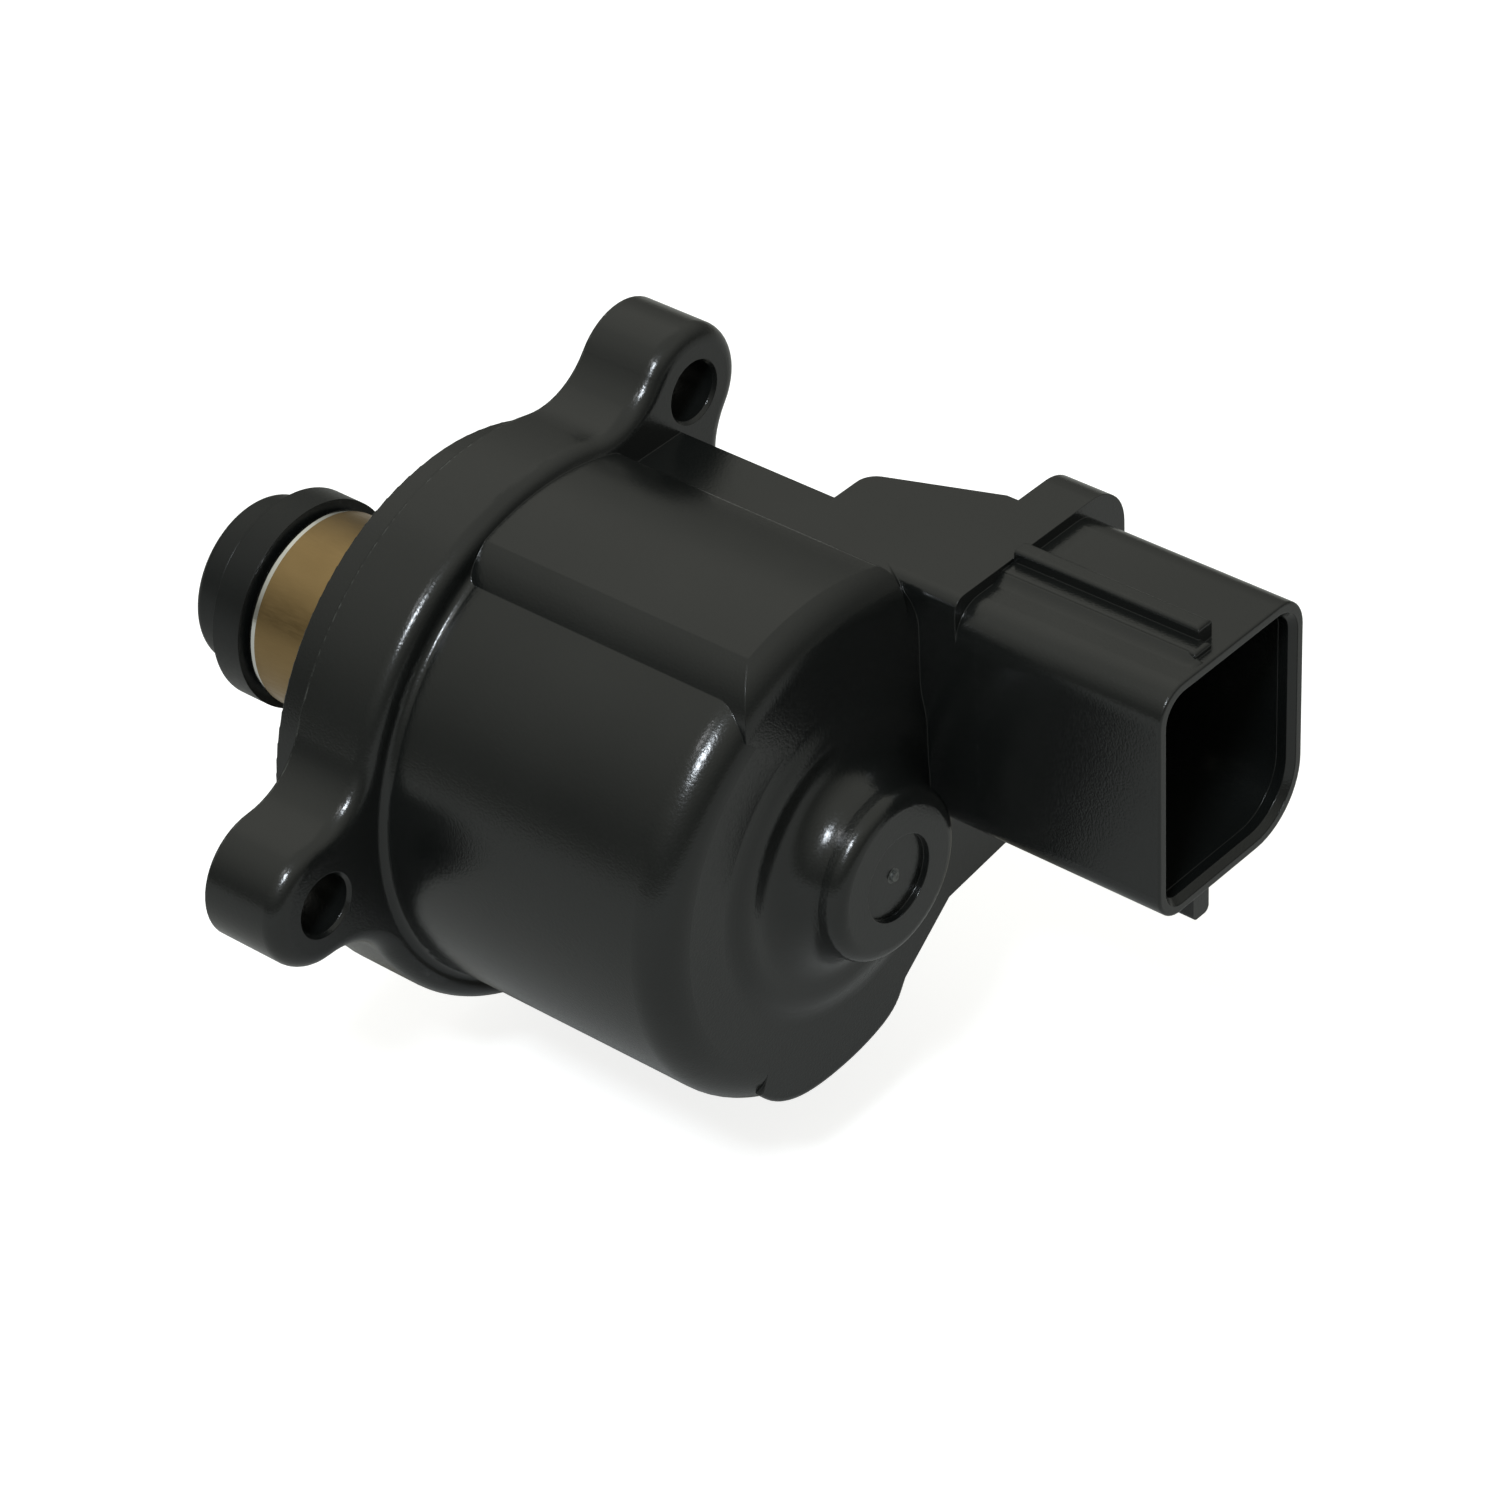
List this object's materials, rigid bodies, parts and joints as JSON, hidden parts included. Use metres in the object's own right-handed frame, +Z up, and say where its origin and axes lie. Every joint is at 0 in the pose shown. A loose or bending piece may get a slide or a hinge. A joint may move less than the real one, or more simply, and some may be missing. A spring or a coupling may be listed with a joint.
{
  "type": "idle air control valve",
  "caption": "Stepper-driven idle air valve: eared flange, metal guide tube with a sliding black nose, round moulded motor body and a side connector socket.",
  "frame": {"origin": "on the motor axis in the pilot spigot, 3 mm behind its front edge and 1.05 mm in front of the mounting face of the ears", "axes": "+X along the motor axis toward the rear and the connector mouth, +Y toward the connector side, +Z up along the connector's long side"},
  "size_m": [0.0936, 0.0705, 0.0637],
  "materials": {
    "black_moulding": "semi-gloss moulded",
    "yellow_plated_sleeve": "satin drawn metal",
    "gasket_rubber": "matte",
    "spring_wire": "drawn wire",
    "zinc_steel": "zinc plated",
    "bearing_steel": "ground",
    "sintered_bronze": "sintered",
    "bobbin_nylon": "moulded",
    "copper_winding": "enamelled wire",
    "rotor_moulding": "moulded",
    "ferrite": "sintered ferrite",
    "nut_brass": "machined",
    "valve_moulding": "satin moulded",
    "ground_steel": "ground",
    "tinned_brass": "tin plated"
  },
  "bodies": {
    "valve_body": {"housing": "black_moulding", "guide_sleeve": "yellow_plated_sleeve", "cover_gasket": "gasket_rubber", "return_spring": "spring_wire", "front_plate": "zinc_steel", "bearing_outer": "bearing_steel", "ball_set": "bearing_steel", "rear_bush": "sintered_bronze", "cup_front_outer": "zinc_steel", "cup_front_inner": "zinc_steel", "bobbin_front": "bobbin_nylon", "winding_front": "copper_winding", "cup_rear_outer": "zinc_steel", "cup_rear_inner": "zinc_steel", "bobbin_rear": "bobbin_nylon", "winding_rear": "copper_winding", "terminal_a1": "tinned_brass", "terminal_a2": "tinned_brass", "terminal_a3": "tinned_brass", "terminal_b1": "tinned_brass", "terminal_b2": "tinned_brass", "terminal_b3": "tinned_brass"},
    "rotor": {"rotor_hub": "rotor_moulding", "ring_magnet": "ferrite", "rotor_nut": "nut_brass", "bearing_inner": "bearing_steel", "wave_washer": "spring_wire"},
    "pintle": {"valve_head": "valve_moulding", "lead_screw": "ground_steel"}
  },
  "joints": [
    {"name": "rotor_spin", "type": "hinge", "parent": "valve_body", "child": "rotor", "pos_m": [0, 0, 0], "axis": [1, 0, 0], "range_deg": [0, 1440]},
    {"name": "valve_slide", "type": "slide", "parent": "valve_body", "child": "pintle", "axis": [-1, 0, 0], "range_m": [0, 0.008], "deforming": ["return_spring"]}
  ],
  "couplings": [
    {"joint": "rotor_spin", "follows": "valve_slide", "rad_per_m": 3141.6}
  ]
}
